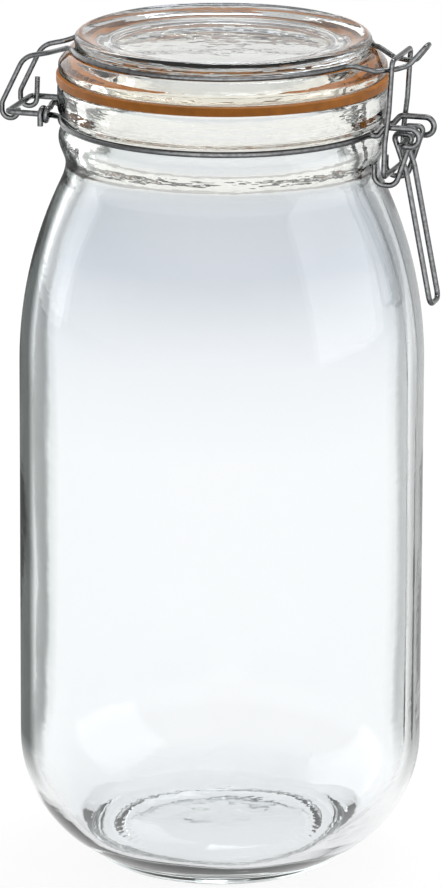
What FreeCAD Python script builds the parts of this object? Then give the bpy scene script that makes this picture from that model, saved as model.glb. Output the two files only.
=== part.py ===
"""Wire-bail preserving jar: glass jar, glass lid, rubber ring and a sprung wire closure.

Millimetres, +Z up, origin at the bottom centre. The closure lies in the XZ plane: the lid's
hinge is at -X and the latch is at +X. All sizes are in the spreadsheet "Sizes".
"""
import FreeCAD, Part
import math
import os
import Sketcher
from FreeCAD import Vector

doc = FreeCAD.newDocument("PreservingJar")

# --- Sizes -----------------------------------------------------------------------------------
# Driving sizes are plain numbers, the rest are formulas of them.
SIZES = [
    # jar body
    ("body_radius", "57.5", "outside radius of the cylinder"),
    ("body_wall", "4.0", "thickness of the cylinder's wall"),
    ("glass_height", "227.1", "height of the jar's rim above the table"),
    ("heel_end", "35.5", "height where the heel's curve meets the cylinder"),
    ("heel_foot_radius", "37.0", "radius where the heel's curve meets the foot"),
    ("heel_foot_height", "3.0", "height where the heel's curve meets the foot"),
    ("foot_outer", "33.6", "outer radius of the ring the jar stands on"),
    ("foot_inner", "30.6", "inner radius of the ring the jar stands on"),
    ("foot_blend", "6.0", "radius that rounds the foot into the heel"),
    ("punt_edge_radius", "27.0", "radius of the hollow under the base"),
    ("punt_edge_height", "2.2", "height of the hollow's edge"),
    ("punt_rise", "4.6", "height of the hollow's middle"),
    ("floor_radius", "27.0", "radius of the floor inside"),
    ("floor_edge", "9.6", "height of the floor's edge inside"),
    ("floor_rise", "11.2", "height of the floor's middle inside"),
    ("middle_flat", "6.0", "radius of the flat in the middle of the hollow, floor and lid underside"),
    # shoulder and neck, measured down from the rim
    ("shoulder_drop", "81.1", "from the rim to the cylinder's upper end"),
    ("shoulder_top_drop", "29.8", "from the rim to the shoulder's upper end"),
    ("shoulder_inset", "0.5", "from the rim's outside in to the shoulder's upper end"),
    ("neck_inset", "2.5", "from the rim's outside in to the neck at its narrowest"),
    ("neck_drop", "22.3", "from the rim to the neck's narrowest place"),
    ("neck_blend", "16.0", "radius of the hollow curve under the neck"),
    ("neck_wall", "4.6", "thickness of the neck"),
    ("bead_inset", "0.2", "from the rim's outside in to the bead under the wire"),
    ("bead_drop", "17.2", "from the rim to the bead's lower edge"),
    ("bead_height", "2.6", "height of the bead"),
    ("groove_drop", "10.9", "from the rim to the middle of the wire groove"),
    ("groove_half", "1.25", "half the width of the groove's floor"),
    ("groove_depth", "1.8", "from the rim's outside in to the groove's floor"),
    ("rim_width", "8.2", "from the mouth out to the rim's outside"),
    ("rim_drop", "8.2", "from the rim's top to its lower edge"),
    ("rim_round", "1.4", "rounding of the rim's outer edge"),
    ("mouth_radius", "38.4", "radius of the mouth"),
    ("mouth_round", "1.2", "rounding of the mouth's edge"),
    ("mouth_depth", "17.0", "height of the mouth's straight wall"),
    # rubber ring
    ("gasket_overhang", "0.3", "how far the rubber ring stands out of the rim"),
    ("gasket_inset", "1.1", "how far the rubber ring reaches into the mouth"),
    ("gasket_thickness", "2.5", "thickness of the rubber ring"),
    ("gasket_round", "0.4", "rounding of the rubber ring's edges"),
    # lid, measured up from the face on the rubber ring
    ("lid_height", "11.4", "height of the lid above the rubber ring"),
    ("flange_inset", "0.3", "from the rim's outside in to the lid's flange"),
    ("flange_low", "0.8", "height of the flange's lower edge"),
    ("flange_high", "3.0", "height of the flange's upper edge"),
    ("flange_round", "1.2", "rounding of the flange's lower edge"),
    ("flange_slope_width", "3.1", "from the flange in to the ledge that the lid wire lies on"),
    ("seat_height", "6.4", "height of the ledge that the lid wire lies on"),
    ("ledge_width", "1.65", "width of the ledge that the lid wire lies on"),
    ("ledge_clearance", "0.6", "how far past the ledge the lid wire's arms stay level"),
    ("lid_rim_overhang", "0.45", "how far the upper rim stands out over the lid wire"),
    ("lid_rim_low", "8.6", "height of the upper rim's lower edge"),
    ("lid_rim_round", "2.2", "rounding of the upper rim's outer edge"),
    ("lid_slope_width", "5.8", "from the upper rim's crest in to where the slope ends"),
    ("lid_slope_height", "10.3", "height where the slope inside the rim ends"),
    ("lid_slope_arc", "22.0", "radius of the hollow slope inside the rim"),
    ("lid_step_width", "2.4", "from there in to the flat middle"),
    ("lid_floor_height", "9.6", "height of the flat middle"),
    ("spigot_depth", "3.0", "how far the lid reaches into the mouth"),
    ("spigot_gap", "0.4", "play between the spigot and the rubber ring"),
    ("spigot_taper", "1.5", "how much smaller the spigot's end is in radius"),
    ("spigot_edge", "2.0", "width of the spigot's end"),
    ("spigot_slope", "1.8", "from the spigot's end in to the hollow's edge"),
    ("dome_edge_height", "3.2", "height of the hollow's edge under the lid"),
    ("dome_rise", "4.4", "height of the hollow's middle under the lid"),
    # wires
    ("neck_wire_radius", "0.85", "half the thickness of the neck wire"),
    ("lid_wire_radius", "0.75", "half the thickness of the lid wire"),
    ("lever_wire_radius", "0.8", "half the thickness of the lever's wire"),
    ("link_wire_radius", "0.75", "half the thickness of the link's wire"),
    ("wire_gap", "0.15", "play between wires that lie side by side"),
    ("groove_gap", "0.05", "play between a wire and its groove"),
    # hinge
    ("hinge_reach", "14.7", "from the neck wire's ring out to the hinge bar"),
    ("hinge_half_width", "10.9", "half the length of the hinge bar"),
    ("hinge_corner", "1.8", "bend at the ends of the hinge bar"),
    ("hook_radius", "2.4", "bend of the lid wire's hooks under the hinge bar"),
    ("hook_half_width", "8.2", "half the distance between the lid wire's hooks"),
    ("hook_tail", "6.2", "height of the back hook's end above the hinge bar"),
    ("arm_spread", "19.9", "half the distance between the arms where they leave the lid wire's ring"),
    ("hinge_elbow", "6.0", "bend from the neck wire's ring to the hinge arms"),
    ("wrap_reach", "2.4", "from the neck wire's ring out to the wrapped end"),
    # latch
    ("handle_half_width", "4.3", "half the distance between the handle's legs"),
    ("latch_elbow", "2.2", "bend from the neck wire's ring to the latch arms"),
    ("curl_reach", "2.9", "from the pivot bar out to the latch arms' curl"),
    ("pivot_corner", "1.7", "bend at the ends of the pivot bar"),
    ("lever_hook_radius", "3.0", "bend of the lever's hooks round the link's lower bar"),
    ("link_corner", "1.6", "bend at the link's corners"),
    ("nose_spread", "17.0", "half the distance between the nose's arms where they leave the ring"),
    ("nose_reach", "17.25", "from the lid wire's ring out to the nose's tip"),
    ("nose_rise", "4.4", "from the lid wire's ring up to the nose's tip"),
    ("pivot_reach", "8.3", "from the neck wire's ring out to the lever's pivot bar"),
    ("pivot_drop", "2.5", "from the neck wire's ring down to the pivot bar"),
    ("latch_arm_rise", "2.6", "from the neck wire's ring up to its latch arms"),
    ("bar_reach", "4.1", "from the neck wire's ring out to the link's lower bar"),
    ("bar_drop", "11.4", "from the neck wire's ring down to the link's lower bar"),
    ("bail_reach", "6.3", "from the neck wire's ring out to the link's upper bar"),
    ("bail_rise", "8.5", "from the lid's underside up to the link's upper bar"),
    ("handle_drop", "48.3", "from the neck wire's ring down to the handle's end"),
    ("handle_stand_off", "4.8", "from the body's outside out to the handle's end"),
    # bends and turning points of the wires
    ("ring_run", "3.0", "how far the lid wire runs straight on where it leaves its ring"),
    ("ring_bend", "3.5", "bend there"),
    ("arm_ledge_bend", "3.0", "bend where a hinge arm leaves the ledge"),
    ("arm_elbow_reach", "11.6", "from the hinge bar in to the hinge arm's elbow"),
    ("arm_elbow_spread", "0.6", "how much further apart the arms are at the elbow than at the hooks"),
    ("arm_elbow_drop", "3.3", "from the lid wire's ring down to the elbow"),
    ("arm_elbow_bend", "7.0", "bend at the elbow"),
    ("arm_knee_reach", "4.2", "from the hinge bar in to the hinge arm's knee"),
    ("arm_knee_drop", "5.0", "from the lid wire's ring down to the knee"),
    ("arm_knee_bend", "6.0", "bend at the knee"),
    ("hook_lead", "2.0", "height above the hinge bar where the hook starts"),
    ("hook_lead_bend", "3.0", "bend there"),
    ("hook_end", "0.6", "height of the front hook's end above the hinge bar"),
    ("tail_lean", "0.3", "how far the back hook's end leans in"),
    ("nose_ledge_bend", "3.0", "bend where a nose arm leaves the ledge"),
    ("nose_elbow_back", "12.35", "from the nose's tip back to the nose arm's elbow"),
    ("nose_elbow_spread", "9.8", "half the distance between the elbows"),
    ("nose_elbow_drop", "1.9", "from the ring down to the elbow"),
    ("nose_elbow_bend", "3.5", "bend at the elbow"),
    ("nose_saddle_back", "7.6", "from the tip back to the saddle where the link sits"),
    ("nose_saddle_spread", "6.4", "half the width of the saddle"),
    ("nose_saddle_drop", "1.7", "from the ring down to the saddle"),
    ("nose_saddle_bend", "5.0", "bend at the saddle"),
    ("nose_throat_back", "4.4", "from the tip back to the throat where the nose turns up"),
    ("nose_throat_spread", "4.0", "half the width of the throat"),
    ("nose_throat_drop", "0.9", "from the ring down to the throat"),
    ("nose_throat_bend", "3.2", "bend at the throat"),
    ("nose_tip_spread", "1.9", "half the width of the tip"),
    ("nose_tip_bend", "1.7", "bend at the tip"),
    ("latch_step_start", "0.75", "from the latch elbow out to where the arm steps up"),
    ("latch_step_end", "2.9", "from the latch elbow out to where the arm is level again"),
    ("latch_step_bend", "1.6", "bend at the lower end of the step"),
    ("latch_level_bend", "2.0", "bend at the upper end of the step"),
    ("bar_start", "3.0", "from the closure's plane to the wire's first end beside the ring"),
    ("bar_bend", "2.5", "bend from beside the ring out to the hinge loop"),
    ("feed_run", "2.5", "how far the wire runs on from the ring before it crosses to the wrap"),
    ("feed_bend", "2.0", "bend there"),
    ("feed_out", "2.5", "from the ring out to the crossing's top"),
    ("feed_aside", "6.0", "from the closure's plane to the crossing's top"),
    ("feed_rise", "3.0", "from the ring up to the crossing's top"),
    ("feed_top_bend", "3.0", "bend at the crossing's top"),
    ("feed_lead", "3.4", "how far before the wrap the crossing is straight"),
    ("feed_lead_bend", "1.5", "bend there"),
    ("wrap_play", "0.03", "play between the wrap and the arm in it"),
    ("wrap_tail", "4.8", "length of the wrap's loose end"),
    ("hook_wire_end", "2.8", "height of the lever hook's end above the link's lower bar"),
    ("hook_ease", "1.05", "how much wider the hook opens towards the pivot"),
    ("hook_back", "0.7", "how far in from the link's lower bar the lever's hook is centred"),
    ("eye_top_reach", "3.2", "from the pivot bar out to the eye's outer corner"),
    ("eye_rise", "2.95", "from the pivot bar up to the eye's corners"),
    ("eye_step", "0.3", "how far the wire steps in at the eye's outer corner"),
    ("eye_top_bend", "1.2", "bend at the outer corner"),
    ("eye_back", "3.0", "from the pivot bar in to the eye's inner corner"),
    ("eye_side", "0.4", "how far outside the handle's leg the inner corner is"),
    ("eye_back_bend", "1.6", "bend at the inner corner"),
    ("leg_knee_reach", "0.9", "from the pivot bar out to the handle's knee"),
    ("leg_knee_drop", "8.0", "from the pivot bar down to the handle's knee"),
    ("leg_knee_bend", "9.0", "bend at the handle's knee"),
    ("handle_end_bend", "2.4", "bend at the handle's end"),
    ("link_waist_reach", "0.3", "from the link's lower bar out to its waist"),
    ("link_waist_drop", "1.7", "from the neck wire's ring down to the link's waist"),
    ("link_shoulder_back", "0.8", "from the link's upper bar in to its shoulder"),
    ("link_shoulder_rise", "7.8", "from the neck wire's ring up to the link's shoulder"),
    ("link_leg_bend", "8.0", "bend at the waist and the shoulder"),
    # formulas
    ("body_inner", "=body_radius - body_wall", "inside radius of the cylinder"),
    ("rim_radius", "=mouth_radius + rim_width", "outside radius of the rim"),
    ("shoulder_top_radius", "=rim_radius - shoulder_inset", "outside radius at the shoulder's upper end"),
    ("neck_radius", "=rim_radius - neck_inset", "outside radius of the neck at its narrowest"),
    ("bead_radius", "=rim_radius - bead_inset", "outside radius of the bead under the wire"),
    ("groove_radius", "=rim_radius - groove_depth", "radius of the groove's floor"),
    ("gasket_outer", "=rim_radius + gasket_overhang", "outer radius of the rubber ring"),
    ("gasket_inner", "=mouth_radius - gasket_inset", "inner radius of the rubber ring"),
    ("flange_radius", "=rim_radius - flange_inset", "outer radius of the lid's flange"),
    ("seat_radius", "=flange_radius - flange_slope_width", "outer radius of the lid wire's ledge"),
    ("lid_waist", "=seat_radius - ledge_width", "radius of the wall inside the lid wire"),
    ("lid_rim_radius", "=lid_waist + lid_rim_overhang", "outer radius of the lid's upper rim"),
    ("lid_crest", "=lid_rim_radius - lid_rim_round", "radius of the upper rim's crest"),
    ("lid_slope_radius", "=lid_crest - lid_slope_width", "radius where the slope inside the rim ends"),
    ("lid_floor_radius", "=lid_slope_radius - lid_step_width", "radius of the flat middle"),
    ("spigot_root_radius", "=gasket_inner - spigot_gap", "outer radius of the spigot at the rubber ring"),
    ("spigot_tip_radius", "=spigot_root_radius - spigot_taper", "outer radius of the spigot's end"),
    ("spigot_inner_radius", "=spigot_tip_radius - spigot_edge", "inner radius of the spigot's end"),
    ("dome_edge_radius", "=spigot_inner_radius - spigot_slope", "radius of the hollow under the lid"),
    ("heel_radius", "=((heel_end - heel_foot_height) ^ 2 + (body_radius - heel_foot_radius) ^ 2)"
     " / (2 * (body_radius - heel_foot_radius))", "radius of the heel's curve"),
    ("floor_heel", "=((heel_end - floor_edge) ^ 2 + (body_inner - floor_radius) ^ 2)"
     " / (2 * (body_inner - floor_radius))", "radius of the heel's curve inside"),
    ("punt_arc", "=((punt_edge_radius - middle_flat) ^ 2 + (punt_rise - punt_edge_height) ^ 2)"
     " / (2 * (punt_rise - punt_edge_height))", "radius of the hollow's dome under the base"),
    ("floor_arc", "=((floor_radius - middle_flat) ^ 2 + (floor_rise - floor_edge) ^ 2)"
     " / (2 * (floor_rise - floor_edge))", "radius of the floor's dome"),
    ("dome_arc", "=((dome_edge_radius - middle_flat) ^ 2 + (dome_rise - dome_edge_height) ^ 2)"
     " / (2 * (dome_rise - dome_edge_height))", "radius of the hollow under the lid"),
    ("shoulder_z", "=glass_height - shoulder_drop", "height of the cylinder's upper end"),
    ("shoulder_top_z", "=glass_height - shoulder_top_drop", "height of the shoulder's upper end"),
    ("shoulder_inner_top", "=shoulder_top_radius - neck_wall", "inside radius there"),
    ("shoulder_radius", "=((shoulder_top_z - shoulder_z) ^ 2 + (body_radius - shoulder_top_radius) ^ 2)"
     " / (2 * (body_radius - shoulder_top_radius))", "radius of the shoulder's curve"),
    ("shoulder_inner", "=((shoulder_top_z - shoulder_z) ^ 2 + (body_inner - shoulder_inner_top) ^ 2)"
     " / (2 * (body_inner - shoulder_inner_top))", "radius of the shoulder's curve inside"),
    ("neck_z", "=glass_height - neck_drop", "height of the neck's narrowest place"),
    ("bead_low_z", "=glass_height - bead_drop", "height of the bead's lower edge"),
    ("bead_high_z", "=bead_low_z + bead_height", "height of the bead's upper edge"),
    ("ring_z", "=glass_height - groove_drop", "height of the neck wire's ring"),
    ("groove_low_z", "=ring_z - groove_half", "height of the groove's lower edge"),
    ("groove_high_z", "=ring_z + groove_half", "height of the groove's upper edge"),
    ("rim_low_z", "=glass_height - rim_drop", "height of the rim's lower edge"),
    ("rim_side_z", "=glass_height - rim_round", "height where the rim's rounding starts"),
    ("rim_top_radius", "=rim_radius - rim_round", "outer radius of the rim's flat top"),
    ("mouth_top_radius", "=mouth_radius + mouth_round", "inner radius of the rim's flat top"),
    ("mouth_side_z", "=glass_height - mouth_round", "height where the mouth's rounding starts"),
    ("mouth_low_z", "=glass_height - mouth_depth", "height of the mouth wall's lower end"),
    ("lid_z", "=glass_height + gasket_thickness", "height of the lid's underside"),
    ("lid_top_z", "=lid_z + lid_height", "height of the lid's top"),
    ("lid_face_radius", "=flange_radius - flange_round", "outer radius of the lid's underside"),
    ("flange_low_z", "=lid_z + flange_low", "height of the flange's lower edge"),
    ("flange_high_z", "=lid_z + flange_high", "height of the flange's upper edge"),
    ("seat_z", "=lid_z + seat_height", "height of the lid wire's ledge"),
    ("lid_rim_low_z", "=lid_z + lid_rim_low", "height of the upper rim's lower edge"),
    ("lid_rim_side_z", "=lid_top_z - lid_rim_round", "height where the upper rim's rounding starts"),
    ("lid_slope_z", "=lid_z + lid_slope_height", "height where the slope inside the rim ends"),
    ("lid_floor_z", "=lid_z + lid_floor_height", "height of the lid's flat middle"),
    ("spigot_tip_z", "=lid_z - spigot_depth", "height of the spigot's end"),
    ("dome_edge_z", "=lid_z + dome_edge_height", "height of the edge of the hollow under the lid"),
    ("dome_z", "=lid_z + dome_rise", "height of the middle of the hollow under the lid"),
    ("gasket_low_z", "=glass_height + gasket_round", "height of the rubber ring's lower rounding"),
    ("gasket_high_z", "=lid_z - gasket_round", "height of the rubber ring's upper rounding"),
    ("gasket_outer_face", "=gasket_outer - gasket_round", "outer radius of the rubber ring's flat faces"),
    ("gasket_inner_face", "=gasket_inner + gasket_round", "inner radius of the rubber ring's flat faces"),
    ("lid_ring_radius", "=lid_waist + groove_gap + lid_wire_radius", "radius of the lid wire's ring"),
    ("lid_ring_z", "=lid_z + seat_height + groove_gap + lid_wire_radius", "height of that ring"),
    ("neck_ring_radius", "=groove_radius + groove_gap + neck_wire_radius", "radius of the neck wire's ring"),
    ("crank_half_width", "=handle_half_width + 2 * lever_wire_radius + wire_gap",
     "half the distance between the lever's cranks"),
    ("latch_half_width", "=crank_half_width + lever_wire_radius + neck_wire_radius + wire_gap",
     "half the distance between the neck wire's latch arms"),
    ("link_half_width", "=latch_half_width + neck_wire_radius + link_wire_radius + wire_gap",
     "half the width of the link"),
]

sheet = doc.addObject("Spreadsheet::Sheet", "Sizes")
for row, (alias, content, note) in enumerate(SIZES, start=1):
    sheet.set("A%d" % row, alias)
    sheet.set("B%d" % row, content)
    sheet.set("C%d" % row, note)
    sheet.setAlias("B%d" % row, alias)
doc.recompute()


def size(alias):
    """A size from the sheet as a number."""
    return float(sheet.get(alias))


# --- Turned pieces -----------------------------------------------------------------------------
def number(value):
    """A corner's coordinate: a sheet alias, or 0 on an axis."""
    return 0.0 if value == 0 else size(value)


def arc_edge(start, end, radius, turn):
    """The short arc from start to end, turning left (+1) or right (-1)."""
    chord = end - start
    middle = (start + end) * 0.5
    rise = math.sqrt(radius ** 2 - (chord.Length / 2) ** 2)
    normal = Vector(-chord.y, chord.x, 0).normalize()
    centre = middle + normal * rise * turn
    first, last = (start, end) if turn > 0 else (end, start)
    first_angle = math.atan2(first.y - centre.y, first.x - centre.x)
    last_angle = math.atan2(last.y - centre.y, last.x - centre.x)
    if last_angle < first_angle:
        last_angle += 2 * math.pi
    return Part.ArcOfCircle(Part.Circle(centre, Vector(0, 0, 1), radius), first_angle, last_angle)


def pin_corner(sketch, edge, end, corner):
    """Tie one end of an edge to its radius and height in the sheet."""
    for kind, value, axis in (("DistanceX", corner[0], -2), ("DistanceY", corner[1], -1)):
        if value == 0:
            sketch.addConstraint(Sketcher.Constraint("PointOnObject", edge, end, axis))
        else:
            index = sketch.addConstraint(Sketcher.Constraint(kind, -1, 1, edge, end, size(value)))
            sketch.setExpression("Constraints[%d]" % index, "Sizes.%s" % value)


def turned(label, corners):
    """A body turned about Z from a closed outline.

    A corner is (radius, height) or (radius, height, arc radius, turn); the arc leads to the
    next corner and turns left (+1) or right (-1).
    """
    body = doc.addObject("PartDesign::Body", label)
    sketch = body.newObject("Sketcher::SketchObject", label + "_outline")
    plane = [item for item in body.Origin.OriginFeatures if item.Role == "XZ_Plane"][0]
    sketch.AttachmentSupport = [(plane, "")]
    sketch.MapMode = "FlatFace"
    count = len(corners)
    ends = []
    for index, corner in enumerate(corners):
        following = corners[(index + 1) % count]
        start = Vector(number(corner[0]), number(corner[1]), 0)
        end = Vector(number(following[0]), number(following[1]), 0)
        if len(corner) == 4:
            edge = sketch.addGeometry(arc_edge(start, end, size(corner[2]), corner[3]), False)
            ends.append((edge, 1, 2) if corner[3] > 0 else (edge, 2, 1))
            bend = sketch.addConstraint(Sketcher.Constraint("Radius", edge, size(corner[2])))
            sketch.setExpression("Constraints[%d]" % bend, "Sizes.%s" % corner[2])
        else:
            edge = sketch.addGeometry(Part.LineSegment(start, end), False)
            ends.append((edge, 1, 2))
    for index, (edge, first, last) in enumerate(ends):
        joined = ends[(index + 1) % count]
        sketch.addConstraint(Sketcher.Constraint("Coincident", edge, last, joined[0], joined[1]))
        pin_corner(sketch, edge, first, corners[index])
    doc.recompute()
    turning = body.newObject("PartDesign::Revolution", label + "_turned")
    turning.Profile = sketch
    turning.ReferenceAxis = (sketch, ["V_Axis"])
    turning.Angle = 360
    body.Tip = turning
    body.Label = label
    return body


def jar_glass():
    """Heel, cylinder, long rounded shoulder, neck, bead, wire groove and flat rim, hollow inside."""
    return turned("jar_glass", [
        ("foot_inner", 0),
        ("foot_outer", 0, "foot_blend", 1),
        ("heel_foot_radius", "heel_foot_height", "heel_radius", 1),
        ("body_radius", "heel_end"),
        ("body_radius", "shoulder_z", "shoulder_radius", 1),
        ("shoulder_top_radius", "shoulder_top_z", "neck_blend", -1),
        ("neck_radius", "neck_z"),
        ("bead_radius", "bead_low_z"),
        ("bead_radius", "bead_high_z"),
        ("groove_radius", "groove_low_z"),
        ("groove_radius", "groove_high_z"),
        ("rim_radius", "rim_low_z"),
        ("rim_radius", "rim_side_z", "rim_round", 1),
        ("rim_top_radius", "glass_height"),
        ("mouth_top_radius", "glass_height", "mouth_round", 1),
        ("mouth_radius", "mouth_side_z"),
        ("mouth_radius", "mouth_low_z"),
        ("shoulder_inner_top", "shoulder_top_z", "shoulder_inner", -1),
        ("body_inner", "shoulder_z"),
        ("body_inner", "heel_end", "floor_heel", -1),
        ("floor_radius", "floor_edge", "floor_arc", 1),
        ("middle_flat", "floor_rise"),
        (0, "floor_rise"),
        (0, "punt_rise"),
        ("middle_flat", "punt_rise", "punt_arc", -1),
        ("punt_edge_radius", "punt_edge_height"),
    ])


def lid_glass():
    """Pressed disc: flange, ledge for the wire, raised rim, stepped middle, spigot and hollow underside."""
    return turned("lid_glass", [
        ("spigot_root_radius", "lid_z"),
        ("lid_face_radius", "lid_z", "flange_round", 1),
        ("flange_radius", "flange_low_z"),
        ("flange_radius", "flange_high_z"),
        ("seat_radius", "seat_z"),
        ("lid_waist", "seat_z"),
        ("lid_waist", "lid_rim_low_z"),
        ("lid_rim_radius", "lid_rim_side_z", "lid_rim_round", 1),
        ("lid_crest", "lid_top_z", "lid_slope_arc", -1),
        ("lid_slope_radius", "lid_slope_z"),
        ("lid_floor_radius", "lid_floor_z"),
        (0, "lid_floor_z"),
        (0, "dome_z"),
        ("middle_flat", "dome_z", "dome_arc", -1),
        ("dome_edge_radius", "dome_edge_z"),
        ("spigot_inner_radius", "spigot_tip_z"),
        ("spigot_tip_radius", "spigot_tip_z"),
    ])


def gasket():
    """Flat rubber ring with rounded edges, pressed between the rim and the lid."""
    return turned("gasket", [
        ("gasket_inner_face", "glass_height"),
        ("gasket_outer_face", "glass_height", "gasket_round", 1),
        ("gasket_outer", "gasket_low_z"),
        ("gasket_outer", "gasket_high_z", "gasket_round", 1),
        ("gasket_outer_face", "lid_z"),
        ("gasket_inner_face", "lid_z", "gasket_round", 1),
        ("gasket_inner", "gasket_high_z"),
        ("gasket_inner", "gasket_low_z", "gasket_round", 1),
    ])


# --- Bent wires --------------------------------------------------------------------------------
# A wire is a round section swept along straight runs that tangent arcs join. Such a path leaves
# its plane at most bends, so the wires are swept by code from the sheet's sizes.
NEARLY = 0.98  # share of a half turn's radius, so that a short straight stays between two bends


def run_edges(corners):
    """Edges of a run through corners (point, bend radius), rounded at each corner but the ends."""
    edges = []
    here = corners[0][0]
    for index in range(1, len(corners) - 1):
        corner, bend = corners[index]
        arriving = (corner - corners[index - 1][0]).normalize()
        leaving = (corners[index + 1][0] - corner).normalize()
        turn = arriving.getAngle(leaving)
        cut = bend * math.tan(turn / 2)
        start = corner - arriving * cut
        end = corner + leaving * cut
        inward = (leaving - arriving).normalize()
        middle = corner + inward * (bend / math.cos(turn / 2) - bend)
        if here.distanceToPoint(start) > 1e-4:
            edges.append(Part.LineSegment(here, start).toShape())
        edges.append(Part.Arc(start, middle, end).toShape())
        here = end
    if here.distanceToPoint(corners[-1][0]) > 1e-4:
        edges.append(Part.LineSegment(here, corners[-1][0]).toShape())
    return edges


def ring_arc(radius, height, first, last):
    """Arc of a level ring between two angles in radians."""
    points = [Vector(radius * math.cos(angle), radius * math.sin(angle), height)
              for angle in (first, (first + last) / 2, last)]
    return Part.Arc(*points).toShape()


def leave_ring(radius, height, angle, way, length):
    """Where a wire leaves a ring at an angle, and the corner that lies straight on from there."""
    start = Vector(radius * math.cos(angle), radius * math.sin(angle), height)
    along = Vector(-math.sin(angle), math.cos(angle), 0) * way
    return start, start + along * length


def swept(edges, radius):
    """Solid wire of a given radius along edges."""
    path = Part.Wire(edges)
    first = path.OrderedEdges[0]
    forward = first.Orientation == "Forward"
    parameter = first.FirstParameter if forward else first.LastParameter
    start = first.valueAt(parameter)
    along = first.tangentAt(parameter)
    section = Part.Wire([Part.Circle(start, along, radius).toShape()])
    return path.makePipeShell([section], True, False)


def wire_piece(label, shape):
    """A sub-part that holds a swept wire."""
    piece = doc.addObject("Part::Feature", label)
    piece.Shape = shape
    piece.Placement = FreeCAD.Placement()
    piece.Label = label
    return piece


def mirrored_y(corners):
    """The same run on the other side of the closure's plane, from its end to its start."""
    return [(Vector(point.x, -point.y, point.z), bend) for point, bend in reversed(corners)]


def wrap_corners(centre, radius, pitch, quarters):
    """Corners of a wire wound round a rod that lies along X, starting on top, one for each quarter turn."""
    corners = []
    for quarter in range(quarters):
        angle = math.radians(135 + 90 * quarter)
        reach = radius * math.sqrt(2)
        offset = Vector(-pitch * quarter / 4, reach * math.cos(angle), reach * math.sin(angle))
        corners.append((centre + offset, radius * NEARLY))
    return corners


def latch_run(start, angle):
    """Corners of the neck wire's latch arm from its ring to the pivot bar."""
    ring = size("neck_ring_radius")
    level = size("ring_z")
    elbow = size("latch_elbow")
    half = size("latch_half_width")
    elbow_x = math.sqrt((ring + elbow) ** 2 - (half + elbow) ** 2)
    arm_level = level + size("latch_arm_rise")
    bar_level = level - size("pivot_drop")
    bar_x = ring + size("pivot_reach")
    curl = (arm_level - bar_level) / 2
    curl_x = bar_x + size("curl_reach") + curl
    straight_on = start + Vector(math.sin(angle), math.cos(angle), 0) * ((-half - start.y) / math.cos(angle))
    return [
        (start, 0),
        (straight_on, elbow * NEARLY),
        (Vector(elbow_x + size("latch_step_start"), -half, level), size("latch_step_bend")),
        (Vector(elbow_x + size("latch_step_end"), -half, arm_level), size("latch_level_bend")),
        (Vector(curl_x, -half, arm_level), curl * NEARLY),
        (Vector(curl_x, -half, bar_level), curl * NEARLY),
        (Vector(bar_x, -half, bar_level), size("pivot_corner")),
    ]


def hinge_run(leave, angle):
    """Corners of the neck wire's hinge loop, from its end beside the ring round to the ring."""
    ring = size("neck_ring_radius")
    level = size("ring_z")
    hinge = size("hinge_half_width")
    hinge_x = -ring - size("hinge_reach")
    beside = ring + 2 * size("neck_wire_radius") + 2 * size("wire_gap")
    first = size("bar_start")
    corner = size("hinge_corner")
    turned_out = leave + Vector(-math.sin(angle), math.cos(angle), 0) * ((-hinge - leave.y) / math.cos(angle))
    return [
        (Vector(-math.sqrt(beside ** 2 - first ** 2), first, level), 0),
        (Vector(-math.sqrt(beside ** 2 - hinge ** 2) - size("tail_lean"), hinge, level), size("bar_bend")),
        (Vector(hinge_x, hinge, level), corner),
        (Vector(hinge_x, -hinge, level), corner),
        (turned_out, size("hinge_elbow") * NEARLY),
        (leave, 0),
    ]


def wrapped_end():
    """Corners of the neck wire's last end: over from the ring, once round the hinge loop's arm and down."""
    ring = size("neck_ring_radius")
    level = size("ring_z")
    wire = size("neck_wire_radius")
    leave, straight_on = leave_ring(ring, level, math.pi, 1, size("feed_run"))
    around = Vector(-ring - size("wrap_reach"), -size("hinge_half_width"), level)
    wrap = wrap_corners(around, 2 * wire + size("wrap_play"), 2 * wire + size("wire_gap"), 5)
    top = Vector(-ring - size("feed_out"), -size("feed_aside"), level + size("feed_rise"))
    lead = wrap[0][0] + Vector(0, size("feed_lead"), 0)
    tail = wrap[-1][0] - Vector(0, 0, size("wrap_tail"))
    return [
        (leave, 0),
        (straight_on, size("feed_bend")),
        (top, size("feed_top_bend")),
        (lead, size("feed_lead_bend")),
    ] + wrap + [(tail, 0)]


def neck_wire():
    """One wire: hinge loop, ring round the neck, latch loop and an end wrapped round the hinge loop."""
    ring = size("neck_ring_radius")
    level = size("ring_z")
    elbow = size("latch_elbow")
    half = size("latch_half_width")
    latch_angle = math.asin((half + elbow) / (ring + elbow))
    latch_start = Vector(ring * math.cos(latch_angle), -ring * math.sin(latch_angle), level)
    latch = latch_run(latch_start, latch_angle)
    sweep = size("hinge_elbow")
    hinge_angle = math.asin((size("hinge_half_width") + sweep) / (ring + sweep))
    leave = Vector(-ring * math.cos(hinge_angle), -ring * math.sin(hinge_angle), level)
    edges = (run_edges(hinge_run(leave, hinge_angle))
             + [ring_arc(ring, level, math.pi + hinge_angle, 2 * math.pi - latch_angle)]
             + run_edges(latch + mirrored_y(latch))
             + [ring_arc(ring, level, latch_angle, math.pi)]
             + run_edges(wrapped_end()))
    return wire_piece("neck_wire", swept(edges, size("neck_wire_radius")))


def past_ledge(start, towards):
    """Where a level run from start towards a point has left the lid's ledge, so that it may go down."""
    heading = Vector(towards.x - start.x, towards.y - start.y, 0).normalize()
    across = start.x * heading.x + start.y * heading.y
    radius = size("seat_radius") + size("ledge_clearance")
    reach = math.sqrt(across ** 2 + radius ** 2 - start.x ** 2 - start.y ** 2) - across
    return start + heading * reach


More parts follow.
